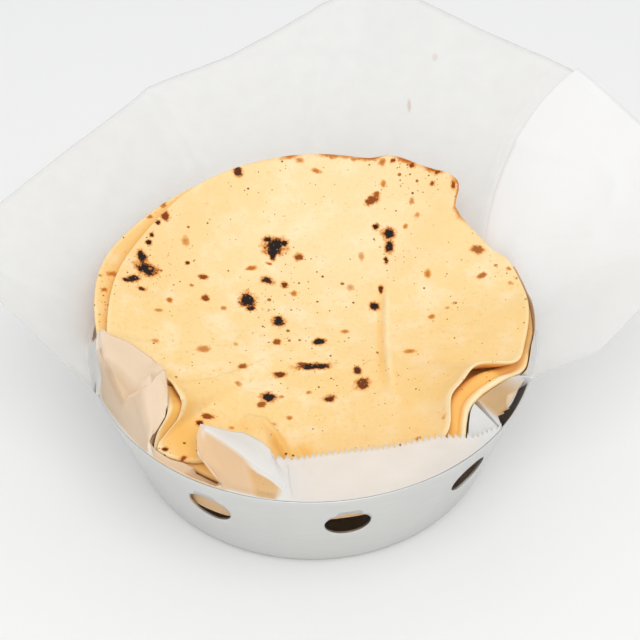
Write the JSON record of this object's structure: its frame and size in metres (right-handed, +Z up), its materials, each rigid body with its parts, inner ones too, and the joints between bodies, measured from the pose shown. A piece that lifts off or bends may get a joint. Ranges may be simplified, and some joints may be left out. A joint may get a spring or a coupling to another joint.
{
  "type": "stack of chapatis in a paper-lined steel basket",
  "caption": "Thin round flatbreads stacked and cupped in the mouth of a round perforated steel basket, on a sheet of baking paper.",
  "frame": {"origin": "middle of the basket's flat underside", "axes": "+Z up; -Y is the front, where the paper is folded in; +X is the right seen from the front"},
  "size_m": [0.4246, 0.3753, 0.152],
  "materials": {
    "steel": "thin satin stainless sheet, finely brushed, with a plain cut rim",
    "baking_paper": "white translucent greaseproof sheet, soft sheen, softly creased",
    "chapati": null
  },
  "bodies": {
    "root": {"basket": "steel", "liner": "baking_paper", "chapati_1": "chapati", "chapati_2": "chapati", "chapati_3": "chapati", "chapati_4": "chapati", "chapati_5": "chapati", "chapati_6": "chapati"}
  },
  "joints": []
}
